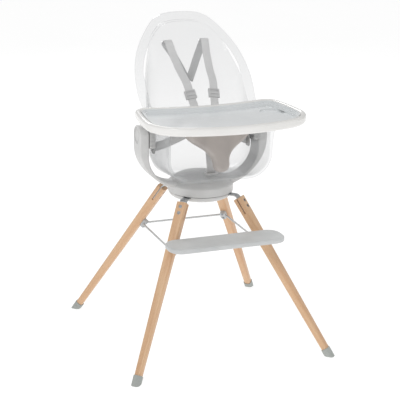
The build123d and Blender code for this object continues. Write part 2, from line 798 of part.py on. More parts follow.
for name, way in SIDES.items():
    outward = Plane(origin=(0, 0, pivot_z), x_dir=(0, way, 0), z_dir=(way, 0, 0))
    with BuildPart() as seat_bracket:
        with BuildSketch(outward.offset(shell_half)):
            RectangleRounded(block_depth, block_high - block_low, 10)
        extrude(amount=block_outer - shell_half)
        fillet(seat_bracket.edges().sort_by(lambda edge: abs(edge.center().X))[-8:], 2)
        for level in range(5):
            rise = block_low + 12 + 12 * level
            for end in (1, -1):
                with Locations((way * (shell_half + block_outer) / 2, end * block_depth / 2, rise)):
                    Box(block_outer, 3, 4, mode=Mode.SUBTRACT)
        rod(outward, pin_radius, pin_start, block_outer, Mode.SUBTRACT)
        with BuildSketch(outward.offset(shell_half)) as screw_holes:
            with Locations(block_screws):
                Circle(block_screw_shank / 2 + running_fit)
        extrude(screw_holes.sketch, amount=block_screw_depth + 1, mode=Mode.SUBTRACT)
    save(seat_bracket, f"seat_bracket_{name}")

with BuildPart() as tray_tracks:
    with BuildSketch(Plane.XY.offset(track_low)):
        with Locations([(way * (track_inner + track_out) / 2, sum(track_y) / 2)
                        for way in SIDES.values()]):
            RectangleRounded(track_out - track_inner, track_y[1] - track_y[0], 5)
    extrude(amount=track_height)
save(tray_tracks, "tray_tracks")

with BuildPart() as bracket_screws:
    for way in SIDES.values():
        outward = Plane(origin=(0, 0, pivot_z), x_dir=(0, way, 0), z_dir=(way, 0, 0))
        wall_face = shell_half - shell_wall
        for radius, start, stop in (
            (block_screw_shank, wall_face - 2, wall_face),
            (block_screw_shank / 2, wall_face, shell_half + block_screw_depth),
        ):
            with BuildSketch(outward.offset(start)) as heads:
                with Locations(block_screws):
                    Circle(radius)
            extrude(heads.sketch, amount=stop - start)
save(bracket_screws, "bracket_screws")


# Harness -------------------------------------------------------------------------------
buckle_middle = Vector(0, -48, pivot_z + 15)
buckle_up = Vector(0, 0.25, 0.968)
buckle_plane = Plane(origin=buckle_middle, x_dir=(1, 0, 0), z_dir=Vector(1, 0, 0).cross(buckle_up))
buckle_half = 28.0
buckle_rise = 23.0
buckle_thick = 15.0
tongue_thick = 2.4
shoulder_tongue = (29.0, 36.0)    # middle of its webbing loop, in the buckle's frame
waist_tongue = (36.0, 4.0)
tongue_loop = (webbing_width + 8, 17.0)
strap_gap = 2.0                   # between a strap's end and its tongue


def at_buckle(across, up):
    """Point in the middle plane of the buckle."""
    return buckle_plane.from_local_coords(Vector(across, up, 0))


def flat_strap(start, stop, across, width):
    """Straight webbing between two points, `across` its width, in the current part."""
    course = stop - start
    with BuildSketch(Plane(origin=start, x_dir=course, z_dir=course.cross(across))) as strip:
        with Locations((course.length / 2, 0)):
            Rectangle(course.length, width)
    extrude(strip.sketch, amount=webbing / 2, both=True)


back_slope = (knee_y - heel_y) / (pan_corners[1].Y - pan_corners[2].Y)
back_join_x = 15.0
back_join_z = pivot_z + 150
back_join_y = heel_y + back_slope * (back_join_z - pan_corners[2].Y) + shell_wall + 6
waist_anchor_y = 0.0
waist_anchor_z = pivot_z - 40
anchor_thickness = 3.0
slider_drop = 26.0                # of the slider's middle below the bend in the strap
slider_length = 26.0
slider_height = 8.0
slider_places = {}

for name, way in SIDES.items():
    slot_middle = Vector(way * shoulder_x, shoulder_y, shoulder_z)
    over_shoulder = slot_middle + Vector(0, -15.6, 4.2)
    strap_bend_spot = Vector(way * 41, 12, pivot_z + 130)
    tongue_across, tongue_up = shoulder_tongue
    strap_end = at_buckle(way * tongue_across, tongue_up + tongue_loop[1] / 2 + strap_gap)
    strap_plane = Plane(origin=slot_middle, x_dir=over_shoulder - slot_middle,
                        z_dir=(over_shoulder - slot_middle).cross(strap_end - over_shoulder))
    course = [strap_plane.to_local_coords(place)
              for place in (slot_middle, over_shoulder, strap_bend_spot, strap_end)]
    with BuildPart() as shoulder_strap:
        with BuildSketch(strap_plane) as strip:
            with BuildLine():
                FilletPolyline(*[(place.X, place.Y) for place in course], radius=(8, 20))
            trace(line_width=webbing)
        extrude(strip.sketch, amount=webbing_width / 2, both=True)
    save(shoulder_strap, f"shoulder_strap_{name}")

    bend = Vector(course[2].X, course[2].Y)
    heading = (Vector(course[3].X, course[3].Y) - bend).normalized()
    slider_middle = strap_plane.from_local_coords(bend + heading * slider_drop)
    strap_heading = strap_plane.x_dir * heading.X + strap_plane.y_dir * heading.Y
    slider_places[name] = Plane(origin=slider_middle, x_dir=strap_plane.z_dir,
                                z_dir=strap_heading)

    behind_slot = slot_middle - back_normal * 7.0
    with BuildPart() as back_strap:
        flat_strap(behind_slot, Vector(way * back_join_x, back_join_y, back_join_z),
                   Vector(1, 0, 0), webbing_width - 1)
    save(back_strap, f"back_strap_{name}")

    waist_across, waist_up = waist_tongue
    waist_start = Vector(way * (shell_half - shell_wall - anchor_thickness - 2 * strap_gap),
                         waist_anchor_y, waist_anchor_z)
    waist_end = at_buckle(way * (waist_across + tongue_loop[1] / 2 + 3 * strap_gap), waist_up - 4)
    with BuildPart() as waist_strap:
        flat_strap(waist_start, waist_end, buckle_up, webbing_width)
    save(waist_strap, f"waist_strap_{name}")

for name, place in slider_places.items():
    with BuildPart() as strap_slider:
        with BuildSketch(place.offset(-slider_length / 2)) as sleeve:
            RectangleRounded(webbing_width + 9, slider_height, 2.5)
            Rectangle(webbing_width + 1, webbing + 0.8, mode=Mode.SUBTRACT)
        extrude(sleeve.sketch, amount=slider_length)
        for row in (-6, 6):
            for face in (1, -1):
                spot = place.from_local_coords(Vector(0, face * slider_height / 2, row))
                with BuildSketch(Plane(origin=spot, x_dir=place.x_dir, z_dir=place.y_dir)) as cut:
                    Rectangle(webbing_width - 1, 6)
                extrude(cut.sketch, amount=2, both=True, mode=Mode.SUBTRACT)
    save(strap_slider, f"strap_slider_{name}")

with BuildPart() as waist_anchors:
    for way in SIDES.values():
        wall = Plane(origin=(way * (shell_half - shell_wall), waist_anchor_y, waist_anchor_z),
                     x_dir=(0, 1, 0), z_dir=(-way, 0, 0))
        with BuildSketch(wall) as pad:
            RectangleRounded(webbing_width + 3, 36, 8)
        extrude(pad.sketch, amount=anchor_thickness)
save(waist_anchors, "waist_anchors")

tongue_neck = (15.0, 23.0)        # middle of the blade that enters the buckle
with BuildPart() as buckle_tongues:
    for way in SIDES.values():
        with BuildSketch(buckle_plane.offset(-tongue_thick / 2)) as blade:
            with Locations((way * shoulder_tongue[0], shoulder_tongue[1])):
                RectangleRounded(*tongue_loop, 4)
            with Locations((way * tongue_neck[0], tongue_neck[1])):
                Rectangle(11, 20)
            with Locations((way * waist_tongue[0], waist_tongue[1])):
                RectangleRounded(tongue_loop[1] - 2, tongue_loop[0], 4)
            with Locations((way * waist_tongue[0], 24)):
                Rectangle(9, 20)
        extrude(blade.sketch, amount=tongue_thick)
save(buckle_tongues, "buckle_tongues")

button_spot_radius = 11.0
with BuildPart() as buckle_body:
    with BuildSketch(buckle_plane.offset(-buckle_thick / 2)) as body_shape:
        RectangleRounded(2 * buckle_half, 2 * buckle_rise, 9)
    extrude(body_shape.sketch, amount=buckle_thick)
    fillet(buckle_body.edges().filter_by(
        lambda edge: abs(abs(buckle_plane.to_local_coords(edge.center()).Z)
                         - buckle_thick / 2) < 0.1), 3)
    rod(buckle_plane, button_spot_radius + 0.4, 2.5, buckle_thick, Mode.SUBTRACT)
    for way in SIDES.values():
        with BuildSketch(buckle_plane.offset(-tongue_thick / 2 - 0.3)) as socket:
            with Locations((way * tongue_neck[0], tongue_neck[1] - 3)):
                Rectangle(11.6, 15)
        extrude(socket.sketch, amount=tongue_thick + 0.6, mode=Mode.SUBTRACT)
    with BuildSketch(buckle_plane.offset(-webbing / 2 - 0.2)) as mouth:
        with Locations((0, -buckle_rise)):
            Rectangle(webbing_width + 1, 16)
    extrude(mouth.sketch, amount=webbing + 0.4, mode=Mode.SUBTRACT)
save(buckle_body, "buckle_body")

with BuildPart() as buckle_button:
    rod(buckle_plane, button_spot_radius, 5.2, buckle_thick / 2 + 1.2)
    fillet(buckle_button.edges().filter_by(GeomType.CIRCLE).sort_by(
        lambda edge: buckle_plane.to_local_coords(edge.center()).Z)[-1], 1)
save(buckle_button, "buckle_button")

anchor_height = 5.0
with BuildPart() as crotch_strap:
    flat_strap(Vector(0, crotch_y, crotch_z + anchor_height / 2), at_buckle(0, 6 - buckle_rise),
               Vector(1, 0, 0), webbing_width)
save(crotch_strap, "crotch_strap")

with BuildPart() as crotch_anchor:
    floor = Plane(origin=(0, crotch_y, crotch_z), x_dir=(1, 0, 0),
                  z_dir=(0, shell_floor_slope, 1))
    with BuildSketch(floor) as foot_shape:
        SlotOverall(44, 22)
    extrude(foot_shape.sketch, amount=anchor_height)
    add(crotch_strap.part, mode=Mode.SUBTRACT)
save(crotch_anchor, "crotch_anchor")

# Tray ----------------------------------------------------------------------------------
tray_top = tray_low + tray_height
basin_floor = tray_low + tray_floor
cup_spot = (172.0, -118.0)


def tray_outline(inset, level):
    """Plan of the tray at a height, drawn in from its outer edge."""
    with BuildSketch(Plane.XY.offset(level)) as plan:
        with Locations((0, tray_front + tray_front_radius)):
            Circle(tray_front_radius - inset)
        for way in SIDES.values():
            with Locations((way * (tray_half - tray_side_radius), tray_widest_y)):
                Circle(tray_side_radius - inset, mode=Mode.INTERSECT)
        with Locations((0, tray_back + tray_rear_radius)):
            Circle(tray_rear_radius + inset, mode=Mode.SUBTRACT)
        fillet(plan.vertices().group_by(Axis.Y)[0], tray_front_corner - inset)
        fillet(plan.vertices().group_by(Axis.Y)[-1], tray_rear_corner - inset)
    return plan.sketch


with BuildPart() as tray_body:
    extrude(tray_outline(0, tray_low), amount=tray_height)
    extrude(tray_outline(tray_rim, basin_floor), amount=tray_height, mode=Mode.SUBTRACT)
    fillet(tray_body.edges().group_by(Axis.Z)[0], 9)
    fillet(tray_body.edges().group_by(Axis.Z)[-1], 7)
save(tray_body, "tray_body")

insert_low = basin_floor + 0.4
insert_top = tray_top - 2.0
insert_floor = insert_low + 6.0
step_rise = 3.2
with BuildPart() as tray_insert:
    extrude(tray_outline(tray_rim + insert_gap, insert_low), amount=insert_top - insert_low)
    extrude(tray_outline(tray_rim + insert_gap + insert_wall, insert_top - step_rise),
            amount=step_rise, mode=Mode.SUBTRACT)
    extrude(tray_outline(tray_rim + insert_gap + 2.4 * insert_wall, insert_top - 2 * step_rise),
            amount=step_rise, mode=Mode.SUBTRACT)
    extrude(tray_outline(tray_rim + insert_gap + 4 * insert_wall, insert_floor),
            amount=insert_top - insert_floor - 2 * step_rise, mode=Mode.SUBTRACT)
    rod(Plane(origin=(*cup_spot, 0)), cup_radius, insert_low + 1.8, insert_floor, Mode.SUBTRACT)
    extrude(tray_outline(tray_rim + insert_gap + insert_wall, insert_low), amount=3.5,
            mode=Mode.SUBTRACT)
    rod(Plane(origin=(*cup_spot, 0)), cup_radius + 2, insert_low, insert_low + 1.8)
    with BuildSketch(Plane.XY.offset(insert_low)) as cup_wall:
        with Locations(cup_spot):
            Circle(cup_radius + 2)
            Circle(cup_radius, mode=Mode.SUBTRACT)
    extrude(cup_wall.sketch, amount=4)
save(tray_insert, "tray_insert")

rail_gap = 1.2
rail_width = 19.0
rail_hook = 9.0              # below the track
rail_y = (track_y[0] + 1, track_y[1] - 1)
rail_x = track_out + rail_gap + 1.3
for name, way in SIDES.items():
    with BuildPart() as tray_rail:
        with BuildSketch(Plane.XZ.offset(-rail_y[1])) as channel:
            with Locations((way * rail_x, (tray_low + track_low - rail_hook) / 2)):
                RectangleRounded(rail_width, tray_low - track_low + rail_hook, 2)
            with Locations((way * (track_out + rail_gap - 6), (track_high + track_low) / 2 + 1)):
                Rectangle(12, track_height + 2 * rail_gap + 2, mode=Mode.SUBTRACT)
        extrude(channel.sketch, amount=rail_y[1] - rail_y[0])
    save(tray_rail, f"tray_rail_{name}")

post_foot = Vector(0, -165, pivot_z - 82)
post_up = Vector(0, 0.343, 0.939).normalized()
post_plane = Plane(origin=post_foot, x_dir=(1, 0, 0), z_dir=Vector(1, 0, 0).cross(post_up))
with BuildPart() as crotch_post:
    with BuildSketch(post_plane) as post_shape:
        with BuildLine():
            foot_arc = CenterArc((0, 22), 22, 180, 180)
            right = Spline(foot_arc @ 1, (33, 55), (88, 98), (112, 160),
                           tangents=((0, 1), (0.25, 1)))
            left = Spline(foot_arc @ 0, (-33, 55), (-88, 98), (-112, 160),
                          tangents=((0, 1), (-0.25, 1)))
            Line(right @ 1, left @ 1)
        make_face()
    extrude(post_shape.sketch, amount=17, both=True)
    fillet(crotch_post.edges().filter_by(
        lambda edge: abs(abs(post_plane.to_local_coords(edge.center()).Z) - 17) < 0.1
        and post_plane.to_local_coords(edge.center()).Y < 158), 9)
    split(bisect_by=Plane.XY.offset(tray_low), keep=Keep.BOTTOM)
save(crotch_post, "crotch_post")
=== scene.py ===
"""Looks of the swivel baby high chair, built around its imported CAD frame.

Metres, +Z up, front of the chair towards -Y, the chair's own left side towards +X.
"""

import json
from math import cos, pi, radians, sin

import bmesh
import bpy
from mathutils import Matrix, Vector


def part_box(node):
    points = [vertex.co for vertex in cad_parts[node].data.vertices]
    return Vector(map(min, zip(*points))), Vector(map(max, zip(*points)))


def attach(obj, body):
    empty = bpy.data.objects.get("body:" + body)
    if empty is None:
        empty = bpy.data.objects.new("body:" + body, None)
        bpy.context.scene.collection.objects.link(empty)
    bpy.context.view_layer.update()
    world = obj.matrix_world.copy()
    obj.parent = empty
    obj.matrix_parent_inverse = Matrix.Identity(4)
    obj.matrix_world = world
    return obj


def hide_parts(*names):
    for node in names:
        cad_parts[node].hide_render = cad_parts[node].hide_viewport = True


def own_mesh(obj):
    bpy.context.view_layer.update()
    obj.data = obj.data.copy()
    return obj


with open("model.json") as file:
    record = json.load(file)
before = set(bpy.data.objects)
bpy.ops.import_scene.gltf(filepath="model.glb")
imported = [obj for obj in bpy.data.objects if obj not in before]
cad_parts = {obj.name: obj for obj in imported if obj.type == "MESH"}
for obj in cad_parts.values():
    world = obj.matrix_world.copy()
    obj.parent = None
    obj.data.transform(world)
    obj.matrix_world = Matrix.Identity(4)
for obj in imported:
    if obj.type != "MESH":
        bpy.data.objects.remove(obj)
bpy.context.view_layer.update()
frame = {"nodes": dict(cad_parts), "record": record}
SIDES = {"left": 1, "right": -1}


# Shader maths ------------------------------------------------------------------------
class Value:
    """A number that varies over a surface: arithmetic on it adds Math nodes."""

    def __init__(self, finish, socket):
        self.finish = finish
        self.socket = socket

    def __add__(self, other):
        return self.finish.maths("ADD", self, other)

    __radd__ = __add__

    def __sub__(self, other):
        return self.finish.maths("SUBTRACT", self, other)

    def __rsub__(self, other):
        return self.finish.maths("SUBTRACT", other, self)

    def __mul__(self, other):
        return self.finish.maths("MULTIPLY", self, other)

    __rmul__ = __mul__

    def __pow__(self, other):
        return self.finish.maths("POWER", self, other)

    def wave(self):
        """Sine of the value."""
        return self.finish.maths("SINE", self)


class Finish:
    """A material while it is being built."""

    def __init__(self, name, **constants):
        self.material = bpy.data.materials.new(name)
        self.material.use_nodes = True
        self.tree = self.material.node_tree
        self.shader = self.tree.nodes["Principled BSDF"]
        for socket, value in constants.items():
            self.shader.inputs[socket.replace("_", " ")].default_value = value

    def node(self, kind, settings=None, inputs=None):
        """A node of any type, with its settings and the values or links of its sockets."""
        made = self.tree.nodes.new(kind)
        for key, value in (settings or {}).items():
            setattr(made, key, value)
        for key, value in (inputs or {}).items():
            self.feed(made.inputs[key], value)
        return made

    def feed(self, socket, value):
        """Gives a socket a link or a fixed value."""
        if isinstance(value, Value):
            value = value.socket
        if isinstance(value, bpy.types.NodeSocket):
            self.tree.links.new(value, socket)
        else:
            socket.default_value = value

    def maths(self, operation, *values):
        made = self.node("ShaderNodeMath", {"operation": operation}, dict(enumerate(values)))
        return Value(self, made.outputs[0])

    def place(self, stretch=(1, 1, 1), turn=(0, 0, 0)):
        """Object coordinates, turned and then stretched."""
        at = self.node("ShaderNodeTexCoord").outputs["Object"]
        turned = self.node("ShaderNodeMapping", inputs={"Vector": at, "Rotation": turn})
        scaled = self.node("ShaderNodeMapping",
                           inputs={"Vector": turned.outputs[0], "Scale": stretch})
        return scaled.outputs[0]

    def noise(self, vector, scale, detail=3.0, roughness=0.5):
        made = self.node("ShaderNodeTexNoise", inputs={
            "Vector": vector, "Scale": scale, "Detail": detail, "Roughness": roughness})
        return Value(self, made.outputs["Fac"])

    def attribute(self, name):
        made = self.node("ShaderNodeAttribute", {"attribute_name": name})
        return Value(self, made.outputs["Fac"])

    def facing(self, blend):
        """0 where the surface faces the eye, 1 at its grazing edge."""
        made = self.node("ShaderNodeLayerWeight", inputs={"Blend": blend})
        return Value(self, made.outputs["Facing"])

    def spread(self, value, low, high, new_low=0.0, new_high=1.0):
        """Value between two levels, mapped to a new range and kept inside it."""
        made = self.node("ShaderNodeMapRange", inputs={
            "Value": value, "From Min": low, "From Max": high,
            "To Min": new_low, "To Max": new_high})
        return Value(self, made.outputs["Result"])

    def mix(self, factor, first, second):
        """Colour between two colours."""
        made = self.node("ShaderNodeMix", {"data_type": "RGBA"})
        self.feed(made.inputs[0], factor)
        self.feed(made.inputs[6], first)
        self.feed(made.inputs[7], second)
        return made.outputs[2]

    def relief(self, height, depth, strength=1.0):
        """Bump of a height pattern, `depth` metres deep."""
        made = self.node("ShaderNodeBump", inputs={
            "Height": height, "Distance": depth, "Strength": strength})
        self.feed(self.shader.inputs["Normal"], made.outputs[0])

    def wear(self, **varying):
        """Feeds the shader's sockets with what varies over the surface."""
        for socket, value in varying.items():
            self.feed(self.shader.inputs[socket.replace("_", " ")], value)
        return self.material


def tone(code, alpha=1.0):
    """Linear colour of a six-digit code."""
    parts = [int(code[i:i + 2], 16) / 255 for i in (0, 2, 4)]
    return (*[p / 12.92 if p <= 0.04045 else ((p + 0.055) / 1.055) ** 2.4 for p in parts], alpha)


# Finishes ----------------------------------------------------------------------------
def varnished_beech(name, axis):
    """Straight-grained beech along an axis, with ray flecks and a satin varnish."""
    wood = Finish(name, Coat_Weight=0.25, Coat_Roughness=0.3, IOR=1.5)
    turn = tuple(axis.rotation_difference(Vector((0, 0, 1))).to_euler())
    fibre = wood.noise(wood.place((1, 1, 0.05), turn), 420, 5, 0.6)
    streak = wood.noise(wood.place((1, 1, 0.03), turn), 75, 3, 0.5)
    band = wood.noise(wood.place((1, 1, 0.22), turn), 28, 2, 0.5)
    fleck = wood.noise(wood.place((1, 1, 0.16), turn), 900, 1, 0.4)
    fleck = wood.spread(fleck, 0.62, 0.70)
    shade = wood.spread(streak * 0.55 + band * 0.3 + fibre * 0.25, 0.38, 0.72)
    colour = wood.mix(shade, tone("E6C39D"), tone("D2A47C"))
    colour = wood.mix(fleck * 0.35, colour, tone("B27F59"))
    wood.relief(fibre * 0.7 + fleck * -0.5, 0.00012, 0.6)
    return wood.wear(Base_Color=colour, Roughness=0.36 + fibre * 0.14 + fleck * 0.08)


def moulded(name, light, dark, roughness=0.5, grain=0.00006):
    """Spark-eroded plastic: fine grain, faint clouding and rubbed patches."""
    plastic = Finish(name, IOR=1.48)
    at = plastic.place()
    skin = plastic.noise(at, 1700, 2, 0.6)
    cloud = plastic.noise(at, 14, 3, 0.5)
    rubbed = plastic.spread(plastic.noise(at, 45, 4, 0.6), 0.52, 0.72)
    speck = plastic.spread(plastic.noise(at, 620, 1, 0.3), 0.66, 0.72)
    colour = plastic.mix(plastic.spread(cloud, 0.35, 0.65), tone(light), tone(dark))
    colour = plastic.mix(speck * 0.12, colour, tone(dark))
    plastic.relief(skin, grain, 0.5)
    return plastic.wear(Base_Color=colour,
                        Roughness=roughness - 0.07 * rubbed + 0.08 * skin)


def glossy(name, light, dark, roughness=0.22):
    """Smooth injection-moulded plastic with a slight orange peel and wiped streaks."""
    plastic = Finish(name, IOR=1.5, Coat_Weight=0.3, Coat_Roughness=0.08)
    at = plastic.place()
    peel = plastic.noise(at, 160, 2, 0.5)
    cloud = plastic.noise(at, 9, 2, 0.5)
    wiped = plastic.noise(plastic.place((0.25, 1, 1), (0, 0, 0.5)), 240, 4, 0.65)
    colour = plastic.mix(plastic.spread(cloud, 0.3, 0.7), tone(light), tone(dark))
    plastic.relief(peel + wiped * 0.1, 0.00008, 0.35)
    return plastic.wear(Base_Color=colour,
                        Roughness=roughness + plastic.spread(wiped, 0.5, 0.75, 0, 0.1))


def clear_plastic(name):
    """Polished clear polycarbonate: see-through face on, bright along its edges, with painted
    dark shade at its grazing edges standing in for the outline that refraction gives.
    """
    shell = Finish(name, IOR=1.58, Coat_Weight=0.6, Coat_Roughness=0.03)
    at = shell.place()
    ripple = shell.noise(at, 16, 2, 0.5)
    scuff = shell.noise(shell.place((0.2, 1, 1), (0.3, 0.2, 0.6)), 500, 4, 0.7)
    edge = shell.facing(0.5)
    # painted shade: towards the grazing edge the shell turns more opaque and dark grey, standing
    # in for the dark outline from refraction
    painted_edge_shade = edge ** 7
    alpha = 0.14 + 0.26 * edge ** 2 + 0.6 * painted_edge_shade
    shell.relief(ripple, 0.0004, 0.25)
    return shell.wear(
        # the dark grey edge colour is painted shade, not a tint of the plastic
        Base_Color=shell.mix(painted_edge_shade, tone("C2C4C6"), tone("6E747A")),
        Roughness=0.05 + shell.spread(scuff, 0.6, 0.8, 0, 0.08),
        Alpha=alpha)


def plated(name, light, dark, axis=Vector((0, 0, 1)), roughness=0.3):
    """Zinc-plated steel, drawn along an axis."""
    steel = Finish(name, Metallic=1.0)
    turn = tuple(axis.rotation_difference(Vector((0, 0, 1))).to_euler())
    drawn = steel.noise(steel.place((1, 1, 0.04), turn), 1500, 3, 0.6)
    bloom = steel.noise(steel.place(), 120, 3, 0.6)
    colour = steel.mix(steel.spread(bloom, 0.4, 0.65), tone(light), tone(dark))
    steel.relief(drawn, 0.00003, 0.4)
    return steel.wear(Base_Color=colour, Roughness=roughness + 0.15 * drawn + 0.08 * bloom)


def powder_coat(name, light, dark):
    """Silver powder coat on wire: fine leather texture and small bright flakes."""
    coat = Finish(name, Metallic=0.25, IOR=1.5, Coat_Weight=0.2, Coat_Roughness=0.25)
    at = coat.place()
    skin = coat.noise(at, 900, 2, 0.5)
    flake = coat.spread(coat.noise(at, 2600, 0, 0.3), 0.62, 0.7)
    colour = coat.mix(coat.spread(skin, 0.35, 0.65), tone(light), tone(dark))
    colour = coat.mix(flake * 0.4, colour, tone("F0F1F2"))
    coat.relief(skin, 0.00008, 0.5)
    return coat.wear(Base_Color=colour, Roughness=0.38 + 0.15 * skin)


def woven(name, light, dark, thread):
    """Twill webbing: `along` and `across` are the piece's own attributes, in metres."""
    cloth = Finish(name, Sheen_Weight=0.35, Sheen_Roughness=0.4)
    along = cloth.attribute("along")
    across = cloth.attribute("across")
    fold = cloth.maths("ABSOLUTE", across)
    twill = ((along + fold * 0.9) * (2 * pi / thread)).wave()
    cross = (across * (2 * pi / (thread * 0.62))).wave()
    weave = twill * 0.35 + cross * 0.25 + 0.5
    fuzz = cloth.noise(cloth.place(), 2200, 2, 0.6)
    cloud = cloth.noise(cloth.place(), 40, 2, 0.5)
    hem = cloth.spread(fold, 0.0102, 0.0108)
    shade = cloth.spread(weave * 0.6 + fuzz * 0.3 + cloud * 0.3, 0.25, 0.95)
    colour = cloth.mix(shade, tone(dark), tone(light))
    colour = cloth.mix(hem * 0.25, colour, tone(dark))
    cloth.relief(weave + fuzz * 0.35, 0.00035, 0.8)
    return cloth.wear(Base_Color=colour, Roughness=0.82 + 0.1 * fuzz)


LEG_AXES = {
    "leg_front_left": (1, -1), "leg_front_right": (-1, -1),
    "leg_rear_left": (1, 1), "leg_rear_right": (-1, 1),
}
slot_of = {part["node"]: part["material_slot"] for part in frame["record"]["subparts"]}
finishes = {
    "foot_plastic": moulded("foot_plastic", "B2B6B2", "A2A6A2", 0.55),
    "zinc_steel": plated("zinc_steel", "C9CBCC", "B4B6B8"),
    "fastener_steel": plated("fastener_steel", "B5B7B9", "8F9194", roughness=0.26),
    "spring_steel": plated("spring_steel", "9C9EA0", "7C7E80", Vector((1, 0, 0)), 0.22),
    "bearing_plastic": moulded("bearing_plastic", "F0F0EC", "E4E4DF", 0.35, 0.00002),
    "satin_wire": powder_coat("satin_wire", "D3D5D6", "BFC2C4"),
    "clip_plastic": moulded("clip_plastic", "CFD1D2", "BFC1C2", 0.45),
    "footrest_plastic": moulded("footrest_plastic", "D6D8D8", "CBCDCD", 0.5, 0.0001),
    "frame_plastic": moulded("frame_plastic", "DEDEDD", "D5D5D4", 0.42),
    "button_plastic": moulded("button_plastic", "DADAD9", "D0D0CF", 0.38),
    "clear_shell": clear_plastic("clear_shell"),
    "bracket_plastic": moulded("bracket_plastic", "CFCFCE", "C2C2C1", 0.45),
    "buckle_plastic": moulded("buckle_plastic", "D4D4D4", "C4C4C4", 0.45),
    "tray_plastic": glossy("tray_plastic", "F4F3F1", "EDECE9"),
    "insert_plastic": glossy("insert_plastic", "EFF1F2", "E8EBEC", 0.2),
    "post_plastic": moulded("post_plastic", "BCB5B0", "ACA5A1", 0.5),
}
webbing = woven("webbing", "EDEDED", "CFCFCF", 0.0016)
for node, piece in frame["nodes"].items():
    if node in LEG_AXES:
        side, end = LEG_AXES[node]
        low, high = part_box(node)
        lean = Vector((-side * (high.x - low.x), -end * (high.y - low.y), high.z - low.z))
        surface = varnished_beech(f"beech_{node}", lean.normalized())
    else:
        surface = finishes.get(slot_of[node], webbing)
    piece.data.materials.clear()
    piece.data.materials.append(surface)

# Button springs ----------------------------------------------------------------------
for name, way in SIDES.items():
    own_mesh(frame["nodes"][f"button_spring_{name}"])

# Making pieces -----------------------------------------------------------------------
def finished(name, bm, surface, body, replaced=()):
    """Turns a bmesh into a named piece that rides on a body."""
    mesh = bpy.data.meshes.new(name)
    bm.to_mesh(mesh)
    bm.free()
    for polygon in mesh.polygons:
        polygon.use_smooth = True
    piece = bpy.data.objects.new(name, mesh)
    bpy.context.scene.collection.objects.link(piece)
    mesh.materials.append(surface)
    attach(piece, body)
    if replaced:
        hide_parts(*replaced)
    return piece


def smooth_route(points, steps):
    """Points of an even curve through the given ones."""
    route = []
    ends = [points[0] * 2 - points[1], *points, points[-1] * 2 - points[-2]]
    for before, here, there, after in zip(ends, ends[1:], ends[2:], ends[3:]):
        for step in range(steps):
            t = step / steps
            route.append(0.5 * (2 * here + (there - before) * t
                                + (2 * before - 5 * here + 4 * there - after) * t ** 2
                                + (3 * here - before - 3 * there + after) * t ** 3))
    return [*route, points[-1]]


def section_frame(here, forward, across):
    """Matrix that puts a section's X across a strap and its Z along it."""
    z = forward.normalized()
    x = (across - z * across.dot(z)).normalized()
    y = z.cross(x)
    return Matrix.Translation(here) @ Matrix((x, y, z)).transposed().to_4x4()


def strap_mesh(route, across, width, thickness):
    """Soft-edged webbing along a route, with its own `along` and `across` attributes."""
    bm = bmesh.new()
    along = bm.verts.layers.float.new("along")
    wide = bm.verts.layers.float.new("across")
    ring = bmesh.ops.create_circle(bm, segments=20, radius=1)["verts"]
    for vert in ring:
        flat = abs(vert.co.x) ** 0.6 * (1 if vert.co.x > 0 else -1)
        crown = abs(vert.co.y) ** 0.55 * (1 if vert.co.y > 0 else -1)
        vert.co = Vector((flat * width / 2, crown * thickness / 2, 0))
        vert[wide] = vert.co.x
    edges = bm.edges[:]
    frames = []
    for i, here in enumerate(route):
        forward = route[min(i + 1, len(route) - 1)] - route[max(i - 1, 0)]
        frames.append(section_frame(here, forward, across(i / (len(route) - 1))))
    bmesh.ops.transform(bm, matrix=frames[0], verts=ring)
    bmesh.ops.contextual_create(bm, geom=edges)
    travelled = 0.0
    for i in range(1, len(route)):
        travelled += (route[i] - route[i - 1]).length
        grown = bmesh.ops.extrude_edge_only(bm, edges=edges)["geom"]
        fresh = [item for item in grown if isinstance(item, bmesh.types.BMVert)]
        edges = [item for item in grown if isinstance(item, bmesh.types.BMEdge)
                 and all(vert in fresh for vert in item.verts)]
        bmesh.ops.transform(bm, matrix=frames[i] @ frames[i - 1].inverted(), verts=fresh)
        for vert in fresh:
            vert[along] = travelled
    bmesh.ops.contextual_create(bm, geom=edges)
    bmesh.ops.recalc_face_normals(bm, faces=bm.faces)
    return bm


def middle(node):
    """Middle of a CAD node's box."""
    low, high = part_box(node)
    return (low + high) / 2


# Webbing -----------------------------------------------------------------------------
STRAP_WIDTH = 0.0246
BACK_STRAP_WIDTH = 0.0236
STRAP_THICKNESS = 0.0019
SLOT_X, SLOT_Y, SLOT_Z = 0.058, 0.1447, 0.8736      # shoulder slots in the backrest
SLOT_DEPTH = 0.0158          # a strap's run forward out of its slot
ANCHOR_X, ANCHOR_Z = 0.1465, 0.5946                 # waist straps at the side walls
FOOT_Y = -0.083              # crotch strap at the seat floor
JOIN_X = 0.015               # back straps where they meet
JOIN_LAP = 0.27              # share of its length that each back strap runs on past the join
BUCKLE_REACH = 0.0465        # straps' ends from the middle of the buckle
TONGUE_X = 0.029
CROTCH_DROP = 0.018
BEND_LENGTH = 0.026          # from the slider up to the bend over the shoulder
SAG = 0.002
ACROSS = Vector((1, 0, 0))
BACK_FACING = Vector((0, -0.803, 0.596))            # out of the backrest, towards the child
BUCKLE_UP = Vector((0, 0.25, 0.968)).normalized()
buckle_at = middle("buckle_body")


def lay_webbing(name, route, across, replaced, width=STRAP_WIDTH):
    """Webbing piece along a route that stands for a plain CAD strap."""
    finished(name, strap_mesh(route, across, width, STRAP_THICKNESS),
             webbing, "seat", [replaced])


